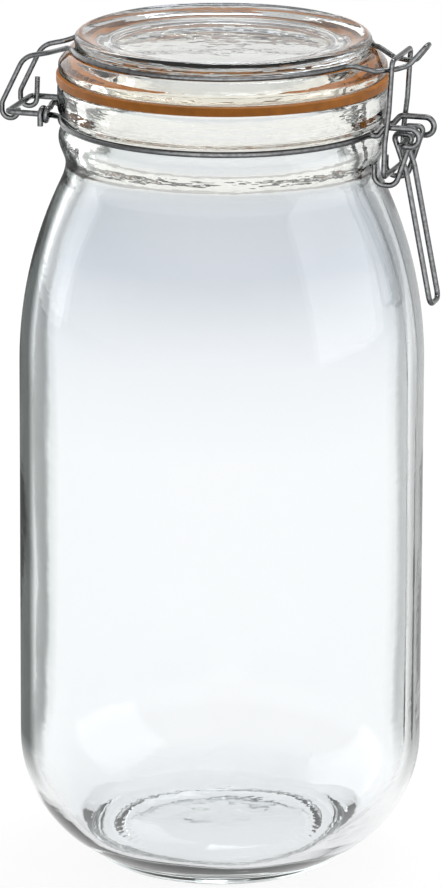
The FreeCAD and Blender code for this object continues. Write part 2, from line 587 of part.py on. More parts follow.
def lid_wire():
    """One wire: a hooked arm, half the ring, the nose, the other half and the other arm."""
    ring = size("lid_ring_radius")
    level = size("lid_ring_z")
    hinge_x = -size("neck_ring_radius") - size("hinge_reach")
    hinge_z = size("ring_z")
    hook = size("hook_radius")
    half = size("hook_half_width")
    arm_angle = math.pi + math.asin(size("arm_spread") / ring)
    start, straight_on = leave_ring(ring, level, arm_angle, -1, size("ring_run"))
    elbow = Vector(hinge_x + size("arm_elbow_reach"), -half - size("arm_elbow_spread"),
                   level - size("arm_elbow_drop"))
    arm = [
        (start, 0),
        (straight_on, size("ring_bend")),
        (past_ledge(straight_on, elbow), size("arm_ledge_bend")),
        (elbow, size("arm_elbow_bend")),
        (Vector(hinge_x + size("arm_knee_reach"), -half, level - size("arm_knee_drop")),
         size("arm_knee_bend")),
        (Vector(hinge_x - hook, -half, hinge_z + size("hook_lead")), size("hook_lead_bend")),
        (Vector(hinge_x - hook, -half, hinge_z - hook), hook * NEARLY),
        (Vector(hinge_x + hook, -half, hinge_z - hook), hook * NEARLY),
    ]
    front_end = (Vector(hinge_x + hook, -half, hinge_z + size("hook_end")), 0)
    back_end = (Vector(hinge_x + hook + size("tail_lean"), half, hinge_z + size("hook_tail")), 0)
    nose_angle = -math.asin(size("nose_spread") / ring)
    nose_start, nose_on = leave_ring(ring, level, nose_angle, 1, size("ring_run"))
    tip_x = ring + size("nose_reach")
    nose_elbow = Vector(tip_x - size("nose_elbow_back"), -size("nose_elbow_spread"),
                        level - size("nose_elbow_drop"))
    saddle = Vector(tip_x - size("nose_saddle_back"), -size("nose_saddle_spread"),
                    level - size("nose_saddle_drop"))
    throat = Vector(tip_x - size("nose_throat_back"), -size("nose_throat_spread"),
                    level - size("nose_throat_drop"))
    nose = [
        (nose_start, 0),
        (nose_on, size("ring_bend")),
        (past_ledge(nose_on, nose_elbow), size("nose_ledge_bend")),
        (nose_elbow, size("nose_elbow_bend")),
        (saddle, size("nose_saddle_bend")),
        (throat, size("nose_throat_bend")),
        (Vector(tip_x, -size("nose_tip_spread"), level + size("nose_rise")), size("nose_tip_bend")),
    ]
    edges = (run_edges([(point, bend) for point, bend in reversed(arm + [front_end])])
             + [ring_arc(ring, level, arm_angle, 2 * math.pi + nose_angle)]
             + run_edges(nose + mirrored_y(nose))
             + [ring_arc(ring, level, -nose_angle, 2 * math.pi - arm_angle)]
             + run_edges(list(reversed(mirrored_y(arm))) + [back_end]))
    return wire_piece("lid_wire", swept(edges, size("lid_wire_radius")))


def lever():
    """One wire: hook, crank, eye round the pivot bar and handle leg, the same on both sides."""
    ring = size("neck_ring_radius")
    level = size("ring_z")
    pivot = Vector(ring + size("pivot_reach"), 0, level - size("pivot_drop"))
    bar = Vector(ring + size("bar_reach"), 0, level - size("bar_drop"))
    crank = size("crank_half_width")
    inner = size("handle_half_width")
    hook = size("lever_hook_radius")
    hook_middle = bar - Vector(size("hook_back"), 0, 0)
    foot = Vector(size("body_radius") + size("handle_stand_off"), -inner, level - size("handle_drop"))
    side = [
        (hook_middle + Vector(-hook, -crank, size("hook_wire_end")), 0),
        (hook_middle + Vector(-hook, -crank, -hook), hook * NEARLY),
        (hook_middle + Vector(hook * size("hook_ease"), -crank, -hook), hook * NEARLY),
        (pivot + Vector(size("eye_top_reach"), size("eye_step") - crank, size("eye_rise")),
         size("eye_top_bend")),
        (pivot + Vector(-size("eye_back"), -inner - size("eye_side"), size("eye_rise")),
         size("eye_back_bend")),
        (pivot + Vector(size("leg_knee_reach"), -inner, -size("leg_knee_drop")), size("leg_knee_bend")),
        (foot, size("handle_end_bend")),
    ]
    return wire_piece("lever", swept(run_edges(side + mirrored_y(side)), size("lever_wire_radius")))


def link():
    """Closed loop of wire from the lever's hooks up over the lid wire's nose."""
    ring = size("neck_ring_radius")
    level = size("ring_z")
    half = size("link_half_width")
    low_x = ring + size("bar_reach")
    low_z = level - size("bar_drop")
    top_x = ring + size("bail_reach")
    corner = size("link_corner")
    bend = size("link_leg_bend")
    side = [
        (Vector(low_x, -half, low_z), corner),
        (Vector(low_x + size("link_waist_reach"), -half, level - size("link_waist_drop")), bend),
        (Vector(top_x - size("link_shoulder_back"), -half, level + size("link_shoulder_rise")), bend),
        (Vector(top_x, -half, size("lid_z") + size("bail_rise")), corner),
    ]
    middle = (Vector(low_x, 0, low_z), 0)
    return wire_piece("link", swept(run_edges([middle] + side + mirrored_y(side) + [middle]),
                                    size("link_wire_radius")))


# --- Build and write -----------------------------------------------------------------------------
pieces = [build() for build in (jar_glass, gasket, lid_glass, neck_wire, lid_wire, lever, link)]
doc.recompute()
for item in doc.Objects:
    if "Invalid" in item.State or "Error" in item.State:
        raise RuntimeError("%s failed: %s" % (item.Label, item.State))
os.makedirs("parts", exist_ok=True)
for piece in pieces:
    if piece.Shape.isNull() or not piece.Shape.isValid():
        raise RuntimeError("%s has no valid shape" % piece.Label)
    print("%-10s %8.1f mm3  %d solid" % (piece.Label, piece.Shape.Volume, len(piece.Shape.Solids)))
for piece in pieces:
    piece.Shape.exportStep(os.path.join("parts", piece.Label + ".step"))
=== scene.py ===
"""Looks of a wire-bail preserving jar: pressed clear glass, an orange rubber ring and bright
steel wire, on a plain white table.

Run as a script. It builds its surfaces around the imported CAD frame, in metres, +Z up, with the
hinge at -X and the latch at +X. Outline tables are in millimetres and become metres once.
"""
import math

import bpy
import numpy as np
from bpy.props import FloatProperty, FloatVectorProperty, PointerProperty
from mathutils import Matrix, Vector


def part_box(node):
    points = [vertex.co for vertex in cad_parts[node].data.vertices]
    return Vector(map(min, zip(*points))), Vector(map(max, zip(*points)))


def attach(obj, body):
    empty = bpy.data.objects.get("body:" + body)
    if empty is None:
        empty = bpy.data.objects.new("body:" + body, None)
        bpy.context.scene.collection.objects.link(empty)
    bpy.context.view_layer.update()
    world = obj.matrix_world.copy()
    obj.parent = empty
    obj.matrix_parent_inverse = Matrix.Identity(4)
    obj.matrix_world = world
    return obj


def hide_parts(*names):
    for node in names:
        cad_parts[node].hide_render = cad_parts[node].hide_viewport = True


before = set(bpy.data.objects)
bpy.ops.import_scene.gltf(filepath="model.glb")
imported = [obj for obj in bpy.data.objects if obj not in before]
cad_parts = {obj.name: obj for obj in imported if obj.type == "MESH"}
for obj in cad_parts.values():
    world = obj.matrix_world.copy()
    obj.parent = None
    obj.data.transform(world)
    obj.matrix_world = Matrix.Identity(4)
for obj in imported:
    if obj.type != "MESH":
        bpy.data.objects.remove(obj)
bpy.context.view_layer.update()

bl_info = {
    "name": "Wire-bail preserving jar",
    "version": (1, 0, 0),
    "blender": (4, 5, 0),
    "location": "View3D > Sidebar > Jar",
    "description": "Builds a preserving jar's glass, rubber ring and wire finish around a CAD frame",
    "category": "Add Mesh",
}

MM = 0.001
TAU = 2 * math.pi


# --- Outlines ---------------------------------------------------------------------------------
def upright_arc(across, up):
    """Radius of the arc over across and up, upright at one end: (across^2 + up^2) / 2 across."""
    return (across ** 2 + up ** 2) / (2 * across)


def level_arc(across, up):
    """Radius of the arc over across and up, level at one end: (across^2 + up^2) / 2 up."""
    return (across ** 2 + up ** 2) / (2 * up)


def top(node):
    """Height of a CAD node's top, in millimetres."""
    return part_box(node)[1][2] / MM


def reach(node):
    """Largest radius of a round CAD node about Z, in millimetres."""
    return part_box(node)[1][0] / MM


RIM = top("jar_glass")  # height of the glass rim
LID = top("gasket")  # height of the lid's underside
BODY = reach("jar_glass")  # outer radius of the body
FLANGE = reach("lid_glass")  # radius of the lid's flange
RING = reach("gasket")  # outer radius of the rubber ring
WALL = 4.0  # glass wall of the body
MOUTH = 38.4  # radius of the opening
HEEL = 35.5  # height where the heel meets the straight body
SHOULDER = 146.0  # height where the shoulder starts
COLLAR = 197.3  # height where the shoulder meets the neck
COLLAR_RADIUS = 46.1  # outer radius there
FLOOR = 9.6  # height of the glass floor at its edge
FLOOR_RADIUS = 27.0  # where the floor is lowest
FLOOR_EDGE = 41.0  # where the floor bends up into the wall
FOOT = 3.0  # height where the foot's round meets the heel
GROOVE = 44.8  # radius at the bottom of the wire's groove
LEDGE = 41.55  # radius of the lid's wall above the wire's ledge
FLAT = 6.0  # radius of the flat in the middle of the floor, the hollow and the lid
SPIGOT = 37.3  # radius of the ring's bore, round the lid's spigot
EDGE = 0.4  # radius on the ring's edges

# A corner is (radius, height) or (radius, height, arc radius, turn): the arc leads to the next
# corner and turns left (+1) or right (-1).
JAR_OUTLINE = [
    (0, 4.6),
    (FLAT, 4.6, level_arc(FLOOR_RADIUS - FLAT, 2.4), -1),
    (FLOOR_RADIUS, 2.2),
    (30.6, 0),
    (33.6, 0, 6.0, 1),
    (37.0, FOOT, upright_arc(BODY - 37.0, HEEL - FOOT), 1),
    (BODY, HEEL),
    (BODY, SHOULDER, upright_arc(BODY - COLLAR_RADIUS, COLLAR - SHOULDER), 1),
    (COLLAR_RADIUS, COLLAR, 16.0, -1),
    (44.1, COLLAR + 7.5),
    (46.4, COLLAR + 12.6),
    (46.4, COLLAR + 15.2),
    (GROOVE, RIM - 12.15),
    (GROOVE, RIM - 9.65),
    (46.6, RIM - 8.2),
    (46.6, RIM - 1.4, 1.4, 1),
    (45.2, RIM),
    (MOUTH + 1.2, RIM, 1.2, 1),
    (MOUTH, RIM - 1.2),
    (MOUTH, RIM - 17.0),
    (41.5, COLLAR, upright_arc(BODY - WALL - 41.5, COLLAR - SHOULDER), -1),
    (BODY - WALL, SHOULDER),
    (BODY - WALL, HEEL, upright_arc(BODY - WALL - FLOOR_EDGE, HEEL - FLOOR - 0.5), -1),
    (FLOOR_EDGE, FLOOR + 0.5),
    (FLOOR_RADIUS, FLOOR, level_arc(FLOOR_RADIUS - FLAT, 1.6), 1),
    (FLAT, FLOOR + 1.6),
    (0, FLOOR + 1.6),
]
LID_OUTLINE = [
    (0, LID + 4.4),
    (FLAT, LID + 4.4, level_arc(31.6 - FLAT, 1.2), -1),
    (31.6, LID + 3.2),
    (33.4, LID - 3.0),
    (35.4, LID - 3.0),
    (36.9, LID),
    (FLANGE - 1.2, LID, 1.2, 1),
    (FLANGE, LID + 0.8),
    (FLANGE, LID + 3.0),
    (43.2, LID + 6.4),
    (LEDGE, LID + 6.4),
    (LEDGE, LID + 8.6),
    (42.0, LID + 9.2, 2.2, 1),
    (39.8, LID + 11.4, 22.0, -1),
    (34.0, LID + 10.3),
    (31.6, LID + 9.6),
    (0, LID + 9.6),
]
GASKET_OUTLINE = [
    (SPIGOT + EDGE, RIM),
    (RING - EDGE, RIM, EDGE, 1),
    (RING, RIM + EDGE),
    (RING, LID - EDGE, EDGE, 1),
    (RING - EDGE, LID),
    (SPIGOT + EDGE, LID, EDGE, 1),
    (SPIGOT, LID - EDGE),
    (SPIGOT, RIM + EDGE, EDGE, 1),
]


ARC_POINTS = 40  # points along each arc of an outline


def arc_points(start, end, radius, turn):
    """Points of the short arc from start to end: centre + radius * (cos t, sin t), start left out."""
    chord = end - start
    length = np.hypot(*chord)
    rise = math.sqrt(radius ** 2 - (length / 2) ** 2)
    centre = (start + end) / 2 + np.array([-chord[1], chord[0]]) / length * rise * turn
    first = math.atan2(*(start - centre)[::-1])
    last = math.atan2(*(end - centre)[::-1])
    swing = (last - first + math.pi) % TAU - math.pi
    angle = first + swing * np.linspace(0, 1, ARC_POINTS)[1:]
    return centre + radius * np.column_stack([np.cos(angle), np.sin(angle)])


def outline_points(corners, closed=False):
    """The whole outline as points: straight runs and arcs joined end to end."""
    places = np.array([corner[:2] for corner in corners], float)
    runs = [places[:1]]
    for index in range(len(corners) if closed else len(corners) - 1):
        start, end = places[index], places[(index + 1) % len(corners)]
        if len(corners[index]) == 4:
            runs.append(arc_points(start, end, *corners[index][2:]))
        else:
            runs.append(end[None])
    return np.vstack(runs)


def even_points(points, step):
    """The same line with points an even step apart, by interpolation along its length."""
    along = np.concatenate([[0], np.cumsum(np.hypot(*np.diff(points, axis=0).T))])
    count = max(int(along[-1] / step), 8)
    want = np.linspace(0, along[-1], count + 1)
    return np.column_stack([np.interp(want, along, points[:, k]) for k in (0, 1)])


def melted(points, step, spread):
    """An outline with its corners rounded, as pressed glass rounds them.

    Each point is averaged with its neighbours under a bell curve of that spread, and past both
    ends the outline goes on as its own mirror image across the axis.
    """
    half = int(3 * spread / step) + 1
    weight = np.exp(-0.5 * (np.arange(-half, half + 1) * step / spread) ** 2)
    weight /= weight.sum()
    before, after = points[half:0:-1], points[-2:-half - 2:-1]
    padded = np.vstack([before * (-1, 1), points, after * (-1, 1)])
    return np.column_stack([np.convolve(padded[:, k], weight, "valid") for k in (0, 1)])


BEND = math.radians(5.0)  # turn of an outline that calls for a row of its own


def spaced_by_bend(points, count, longest):
    """Count points along a line, close where it bends.

    They are evenly spaced in the running sum of length / longest + turn / BEND.
    """
    steps = np.diff(points, axis=0)
    length = np.hypot(*steps.T)
    heading = np.unwrap(np.arctan2(steps[:, 1], steps[:, 0]))
    turn = np.abs(np.diff(heading, append=heading[-1]))
    weight = length / longest + turn / BEND
    measure = np.concatenate([[0], np.cumsum(weight)])
    want = np.linspace(0, measure[-1], count)
    return np.column_stack([np.interp(want, measure, points[:, k]) for k in (0, 1)])


# --- Meshes -----------------------------------------------------------------------------------
def grid_faces(rows, columns, wrap_rows, wrap_columns):
    """Corner indices of a grid's quads, worked out as whole arrays.

    A wrapped side joins its last line to its first.
    """
    row = np.arange(rows if wrap_rows else rows - 1)
    column = np.arange(columns if wrap_columns else columns - 1)
    low, left = np.meshgrid(row, column, indexing="ij")
    high, right = (low + 1) % rows, (left + 1) % columns
    return np.stack([low * columns + left, low * columns + right,
                     high * columns + right, high * columns + left], -1).reshape(-1, 4)


def mesh_from(name, points, faces):
    """A smooth-shaded mesh object at the origin from vertex and face arrays."""
    mesh = bpy.data.meshes.new(name)
    mesh.from_pydata(points.reshape(-1, 3).tolist(), [], [[int(i) for i in face] for face in faces])
    mesh.update()
    mesh.shade_smooth()
    piece = bpy.data.objects.new(name, mesh)
    bpy.context.scene.collection.objects.link(piece)
    return piece


def lathe(name, outline, turns, shape=None):
    """A surface of revolution: (r cos a, r sin a, z) for an outline (r, z) and even angles a.

    shape(r, z, a) may move each point's radius and height. Ends on the axis become single points,
    and an outline that comes back to its start makes a ring.
    """
    angle = np.arange(turns) * TAU / turns
    ring = np.allclose(outline[0], outline[-1])
    line = outline[:-1] if ring else outline[1:-1]
    r, a = np.meshgrid(line[:, 0], angle, indexing="ij")
    z = np.repeat(line[:, 1:], turns, 1)
    if shape:
        r, z = shape(r, z, a)
    points = np.stack([r * np.cos(a), r * np.sin(a), z], -1).reshape(-1, 3) * MM
    faces = grid_faces(len(line), turns, ring, True).tolist()
    if not ring:
        low, high = len(points), len(points) + 1
        points = np.vstack([points, [[0, 0, outline[0, 1] * MM], [0, 0, outline[-1, 1] * MM]]])
        here = np.arange(turns)
        following = (here + 1) % turns
        last_row = (len(line) - 1) * turns
        faces += np.column_stack([np.full(turns, low), following, here]).tolist()
        faces += np.column_stack([np.full(turns, high), last_row + here, last_row + following]).tolist()
    return mesh_from(name, points, faces)


# --- Material helpers ---------------------------------------------------------------------------
def linear(colour):
    """An sRGB hex colour as linear RGBA: c / 12.92 below 0.04045, else ((c + 0.055) / 1.055) ^ 2.4."""
    parts = [int(colour[i:i + 2], 16) / 255 for i in (1, 3, 5)]
    return [c / 12.92 if c <= 0.04045 else ((c + 0.055) / 1.055) ** 2.4 for c in parts] + [1.0]


def shaded(colour, share=1.0):
    """A property's linear colour as RGBA, darkened to that share."""
    return [c * share for c in colour] + [1.0]


def new_material(name):
    """An empty node material and its node tree."""
    material = bpy.data.materials.new(name)
    material.use_nodes = True
    material.node_tree.nodes.clear()
    return material, material.node_tree


def add(tree, kind, settings=None, **links):
    """A node with its settings, and its inputs given as values or as sockets to link from.

    The setting stops gives a colour ramp its (place, RGBA) pairs. An input is named with _ for a
    space, or by its number after an n.
    """
    node = tree.nodes.new(kind)
    settings = dict(settings or {})
    stops = settings.pop("stops", [])
    for element in list(node.color_ramp.elements)[1:] if stops else []:
        node.color_ramp.elements.remove(element)
    for index, (place, colour) in enumerate(stops):
        element = node.color_ramp.elements.new(place) if index else node.color_ramp.elements[0]
        element.position, element.color = place, colour
    for key, value in settings.items():
        setattr(node, key, value)
    for key, value in links.items():
        numbered = key[0] == "n" and key[1:].isdigit()
        socket = node.inputs[int(key[1:]) if numbered else key.replace("_", " ")]
        if isinstance(value, bpy.types.NodeSocket):
            tree.links.new(value, socket)
        else:
            socket.default_value = value
    return node


# --- Materials ----------------------------------------------------------------------------------
# Widths and heights in millimetres.
GLASS_IOR = 1.52
WAVE = 25.0  # width of the glass's slow waves
RIPPLE = 8.0  # width of its ripples
NECK_FROM, NECK_FULL = 200.0, 214.0  # heights where the ripples start to grow and are at their full
TINTED = LID + 12.0  # height of the last tint
MOTTLE = 3.846  # width of the rubber's mottle
SCUFF = 1.111  # width of the steel's scuffs, coarser than real ones so that they show
GLOW = 1.1  # strength of the table's own white
GLOW_SHARE = 0.7  # how much of the table's look is its own white


def soda_lime_glass(name, heights):
    """Clear container glass, blown or pressed in a mould: IOR 1.52, slow waves, a cool grey by height
    that is partly painted shade, and painted shade where it is seen at a glancing angle: darker tints
    and a dark grey refraction in place of its mirror of the bright table.
    Lamps shine through it, so what stands in it and under it stays light.

    heights are (height in millimetres, colour) pairs, from the foot up; the jar's colours carry painted
    shade at the floor and shoulder.
    """
    finish = bpy.context.scene.jar_finish
    material, tree = new_material(name)
    where = add(tree, "ShaderNodeTexCoord")
    place = where.outputs["Object"]
    across, _, height = add(tree, "ShaderNodeSeparateXYZ", Vector=place).outputs
    # slow waves left by the mould and the draw of the glass, 25 mm across, and ripples of 8 mm
    # round by 2 mm high, which show most on the pressed neck and lid
    waves = add(tree, "ShaderNodeTexNoise", Vector=place, Scale=1 / (WAVE * MM), Detail=1.0)
    swell = add(tree, "ShaderNodeBump", Strength=0.35, Distance=0.0006, Height=waves.outputs["Fac"])
    flat = add(tree, "ShaderNodeMapping", Vector=place, Scale=(1.0, 1.0, 4.0))
    ripples = add(tree, "ShaderNodeTexNoise", Vector=flat.outputs[0], Scale=1 / (RIPPLE * MM), Detail=2.0)
    pressed = add(tree, "ShaderNodeMapRange", Value=height, n1=NECK_FROM * MM, n2=NECK_FULL * MM,
                  n3=0.15, n4=1.0)
    ripples = add(tree, "ShaderNodeMath", {"operation": "MULTIPLY"}, n0=ripples.outputs["Fac"],
                  n1=pressed.outputs[0])
    bump = add(tree, "ShaderNodeBump", Strength=0.4, Distance=0.0004, Height=ripples.outputs[0],
               Normal=swell.outputs["Normal"])
    # colour by height, which on the jar's floor and shoulder is partly painted shade
    level = add(tree, "ShaderNodeMapRange", Value=height, n1=0.0, n2=TINTED * MM)
    tint_by_height = add(tree, "ShaderNodeValToRGB",
                {"stops": [(z / TINTED, linear(colour)) for z, colour in heights]}, Fac=level.outputs[0])
    # painted shade: darker tints from about 68 degrees off square, darker the more glancing the view
    facing = add(tree, "ShaderNodeLayerWeight", Blend=0.5).outputs["Facing"]
    painted_light_by_facing = add(tree, "ShaderNodeValToRGB", {"stops": [
        (0.0, linear("#FFFFFF")), (0.54, linear("#FDFEFE")), (0.64, linear("#C4CAC8")),
        (0.7, linear("#5A605E")), (0.82, linear("#4E5452")), (1.0, linear("#464C50"))]}, Fac=facing)
    # the painted shade goes only on upright walls above the heel, and half as much on the latch's side
    slope = add(tree, "ShaderNodeSeparateXYZ", Vector=where.outputs["Normal"]).outputs["Z"]
    slope = add(tree, "ShaderNodeMath", {"operation": "ABSOLUTE"}, n0=slope)
    upright = add(tree, "ShaderNodeMapRange", Value=slope.outputs[0], n1=0.75, n2=0.4)
    above_heel = add(tree, "ShaderNodeMapRange", Value=height, n1=24.0 * MM, n2=38.0 * MM)
    side = add(tree, "ShaderNodeMapRange", Value=across, n1=-40.0 * MM, n2=50.0 * MM, n3=1.0, n4=0.5)
    wall = add(tree, "ShaderNodeMath", {"operation": "MULTIPLY"}, n0=upright.outputs[0],
               n1=above_heel.outputs[0])
    wall = add(tree, "ShaderNodeMath", {"operation": "MULTIPLY"}, n0=wall.outputs[0], n1=side.outputs[0])
    # the colour by height, darkened by the painted shade
    tint_and_painted_shade = add(tree, "ShaderNodeMix", {"data_type": "RGBA", "blend_type": "MULTIPLY"},
               Factor=wall.outputs[0], n6=tint_by_height.outputs["Color"], n7=painted_light_by_facing.outputs["Color"])
    body = add(tree, "ShaderNodeBsdfPrincipled", IOR=GLASS_IOR, Roughness=0.0, Transmission_Weight=1.0,
               Base_Color=tint_and_painted_shade.outputs[2], Normal=bump.outputs["Normal"])
    clear = add(tree, "ShaderNodeBsdfTransparent", Color=linear("#F7F7F7"))
    path = add(tree, "ShaderNodeLightPath")
    lamp = add(tree, "ShaderNodeMath", {"operation": "MAXIMUM"},
               n0=path.outputs["Is Shadow Ray"], n1=path.outputs["Is Diffuse Ray"])
    # more painted shade: seen at a glancing angle, the glass's mirror of the bright table is left out and it
    # bends light through a dark grey
    dim = add(tree, "ShaderNodeMapRange", Value=facing, n1=0.64, n2=0.72, n4=0.85)
    dim = add(tree, "ShaderNodeMath", {"operation": "MULTIPLY"}, n0=dim.outputs[0], n1=wall.outputs[0])
    bent = add(tree, "ShaderNodeBsdfRefraction", IOR=GLASS_IOR, Roughness=0.0, Color=linear("#5A605E"),
               Normal=bump.outputs["Normal"])
    glass = add(tree, "ShaderNodeMixShader", Fac=dim.outputs[0], n1=body.outputs[0], n2=bent.outputs[0])
    mixed = add(tree, "ShaderNodeMixShader", Fac=lamp.outputs[0], n1=glass.outputs[0],
                n2=clear.outputs[0])
    depth = add(tree, "ShaderNodeVolumeAbsorption", Color=shaded(finish.glass_depth), Density=6.0)
    add(tree, "ShaderNodeOutputMaterial", Surface=mixed.outputs[0], Volume=depth.outputs[0])
    return material


def natural_rubber():
    """Moulded natural rubber, orange, with a soft matt skin and a faint mottle of just under 4 mm."""
    finish = bpy.context.scene.jar_finish
    material, tree = new_material("natural_rubber")
    place = add(tree, "ShaderNodeTexCoord").outputs["Object"]
    mottle = add(tree, "ShaderNodeTexNoise", Vector=place, Scale=1 / (MOTTLE * MM), Detail=3.0)
    colour = add(tree, "ShaderNodeValToRGB", {"stops": [
        (0.32, shaded(finish.rubber_colour, 0.74)), (0.68, shaded(finish.rubber_colour))]},
                 Fac=mottle.outputs["Fac"])
    bump = add(tree, "ShaderNodeBump", Strength=0.3, Distance=0.0001, Height=mottle.outputs["Fac"])
    body = add(tree, "ShaderNodeBsdfPrincipled", Base_Color=colour.outputs["Color"], Roughness=0.5,
               Normal=bump.outputs["Normal"], Specular_IOR_Level=0.3)
    add(tree, "ShaderNodeOutputMaterial", Surface=body.outputs[0])
    return material


def drawn_steel(name):
    """Spring wire, drawn through a die and bent: bare grey steel, scuffed in spots of about 1 mm.

    Its colour carries a painted highlight and painted shade by how squarely the wire is seen: a thin
    bright line along its middle, dark grey beside it and lighter at its rims, and the scuffs are duller.
    """
    finish = bpy.context.scene.jar_finish
    material, tree = new_material(name)
    place = add(tree, "ShaderNodeTexCoord").outputs["Object"]
    scuffs = add(tree, "ShaderNodeTexNoise", Vector=place, Scale=1 / (SCUFF * MM), Detail=4.0)
    skin = add(tree, "ShaderNodeValToRGB", {"stops": [
        (0.35, shaded(finish.steel_colour, 0.6)), (0.6, shaded(finish.steel_colour))]},
               Fac=scuffs.outputs["Fac"])
    # painted highlight and shade: white where the wire is seen square on, dark grey beside, lighter towards
    # its rims
    facing = add(tree, "ShaderNodeLayerWeight", Blend=0.5).outputs["Facing"]
    painted_light_by_facing = add(tree, "ShaderNodeValToRGB", {"stops": [
        (0.0, linear("#FFFFFF")), (0.04, linear("#E7E7E7")), (0.14, linear("#959595")),
        (0.45, linear("#696969")), (0.65, linear("#8B8B8B")), (1.0, linear("#BCBCBC"))]}, Fac=facing)
    colour = add(tree, "ShaderNodeMix", {"data_type": "RGBA", "blend_type": "MULTIPLY"}, Factor=1.0,
                 n6=skin.outputs["Color"], n7=painted_light_by_facing.outputs["Color"])
    rough = add(tree, "ShaderNodeMapRange", Value=scuffs.outputs["Fac"], n3=0.12, n4=0.32)
    bump = add(tree, "ShaderNodeBump", Strength=0.25, Distance=0.00004, Height=scuffs.outputs["Fac"])
    body = add(tree, "ShaderNodeBsdfPrincipled", Base_Color=colour.outputs[2], Metallic=1.0,
               Roughness=rough.outputs[0], Normal=bump.outputs["Normal"])
    add(tree, "ShaderNodeOutputMaterial", Surface=body.outputs[0])
    return material


def white_table():
    """Smooth white table: plain white to the eye and in glass and metal, and greyed a little by the
    jar's shadow. A share of what is seen is its own glow and the rest is lit paint."""
    material, tree = new_material("white_table")
    path = add(tree, "ShaderNodeLightPath")
    seen = add(tree, "ShaderNodeMath", {"operation": "MAXIMUM"},
               n0=path.outputs["Is Camera Ray"], n1=path.outputs["Is Glossy Ray"])
    seen = add(tree, "ShaderNodeMath", {"operation": "MAXIMUM"},
               n0=seen.outputs[0], n1=path.outputs["Is Transmission Ray"])
    share = add(tree, "ShaderNodeMath", {"operation": "MULTIPLY"}, n0=seen.outputs[0], n1=GLOW_SHARE)
    paint = add(tree, "ShaderNodeBsdfDiffuse", Color=linear("#E8E8E8"))
    glow = add(tree, "ShaderNodeEmission", Color=linear("#FFFFFF"), Strength=GLOW)
    mixed = add(tree, "ShaderNodeMixShader", Fac=share.outputs[0], n1=paint.outputs[0],
                n2=glow.outputs[0])
    add(tree, "ShaderNodeOutputMaterial", Surface=mixed.outputs[0])
    return material


# --- Properties -------------------------------------------------------------------------------
class JarSizes(bpy.types.PropertyGroup):
    """Sizes that a maker would change around the frame."""

    corner_melt: FloatProperty(name="Corner melt", description="How far pressed glass rounds its corners",
                               default=0.5 * MM, min=0, subtype="DISTANCE")
    wall_waver: FloatProperty(name="Wall waver", description="How far the blown inner wall wanders",
                              default=0.3 * MM, min=0, subtype="DISTANCE")
    camera_distance: FloatProperty(name="Camera distance", description="From the jar's middle to the camera",
                                   default=2.0, min=0.5, subtype="DISTANCE")


class JarFinish(bpy.types.PropertyGroup):
    """Colours that a maker would change."""

    glass_depth: FloatVectorProperty(name="Glass depth", description="Colour that deep glass takes on",
                                     default=linear("#C9D8D2")[:3], min=0, max=1, subtype="COLOR")
    rubber_colour: FloatVectorProperty(name="Rubber", description="Colour of the rubber ring",
                                       default=linear("#B06A1A")[:3], min=0, max=1, subtype="COLOR")
    steel_colour: FloatVectorProperty(name="Steel", description="Colour of the bare wire",
                                      default=linear("#C6C8CA")[:3], min=0, max=1, subtype="COLOR")


# --- Pieces -----------------------------------------------------------------------------------
# Sizes in millimetres.
TURNS = 384  # columns round each turned surface
OUTLINE_STEP = 0.1  # spacing of an outline's points before they are spaced by bend
BORDER_OUT, BORDER_UP = 0.9, 0.4  # how far the floor's border moves out and up for a wave of 1
MIDDLE_UP = 0.22  # height of the rings that settled in the floor's middle
SEAM = 0.12  # how far the mould's two seams stand out
TICKS = 60  # ridges round the foot ring
TICK_DEPTH = 0.35
TICKS_FROM, TICKS_TO = 27.2, 30.4  # radii between which the ridges run
TICKS_TOP = 2.4  # height that they stay below
DOTS = np.radians(109.0 - 4.2 * np.arange(9))  # the mould's row of dots, round the back of the heel
DOT_HEIGHT = 14.0
DOT_WIDTH = 1.3
DOT_OUT = 0.9  # how far a dot stands out


def bell(distance, width):
    """A smooth bump: exp(-(distance / width)^2)."""
    return np.exp(-(distance / width) ** 2)


def blown_wall(r, z, a):
    """What blowing leaves, in millimetres.

    Inside, the wall's radius wanders by the sum of three sines of angle and height. Where the floor
    bends up, sines of the angle under a bell of the radius move it out and up, and rings of the
    radius settle in its middle. Outside, the foot ring has ridges that follow a cosine of the
    angle, a bell of the angle makes a seam up each side, and bells make a row of dots on the back
    of the heel.
    """
    waver = bpy.context.scene.jar_sizes.wall_waver / MM
    inner = np.arange(len(z))[:, None] > z[:, 0].argmax()
    upright = inner * np.clip((z - 14.0) / 20.0, 0, 1) * np.clip((205.0 - z) / 20.0, 0, 1)
    waves = (np.sin(2 * a + 0.7 + z / 31.0) + 0.7 * np.sin(3 * a - 1.1 - z / 23.0)
             + 0.5 * np.sin(5 * a + 2.0 + z / 17.0))
    heel = inner * (z < HEEL) * bell(r - FLOOR_EDGE, 7.0)
    middle = inner * (z < HEEL) * bell(r, 26.0) * (1 - bell(r, 5.0))
    border = heel * (-0.6 * np.cos(a) + np.sin(3 * a + 0.4) + 0.6 * np.sin(5 * a - 1.0)
                     + 0.35 * np.sin(9 * a + 2.0))
    rings = middle * np.sin(r / 2.6 + 2 * np.sin(a + 0.5) + np.sin(3 * a))
    settled = BORDER_UP * border + MIDDLE_UP * rings
    foot = ~inner * (z < TICKS_TOP) * np.clip(r - TICKS_FROM, 0, 1) * np.clip(TICKS_TO - r, 0, 1)
    ridges = TICK_DEPTH * foot * (0.5 + 0.5 * np.cos(TICKS * a))
    seam = SEAM * ~inner * (z > HEEL) * (z < COLLAR) * bell(np.sin(a), 0.014)
    dots = sum(bell((a - dot) * r, DOT_WIDTH) for dot in DOTS) * bell(z - DOT_HEIGHT, DOT_WIDTH)
    dots = DOT_OUT * ~inner * dots
    wander = 0.5 * waver * waves * upright
    return r + wander + BORDER_OUT * border + seam + dots, z + settled + ridges
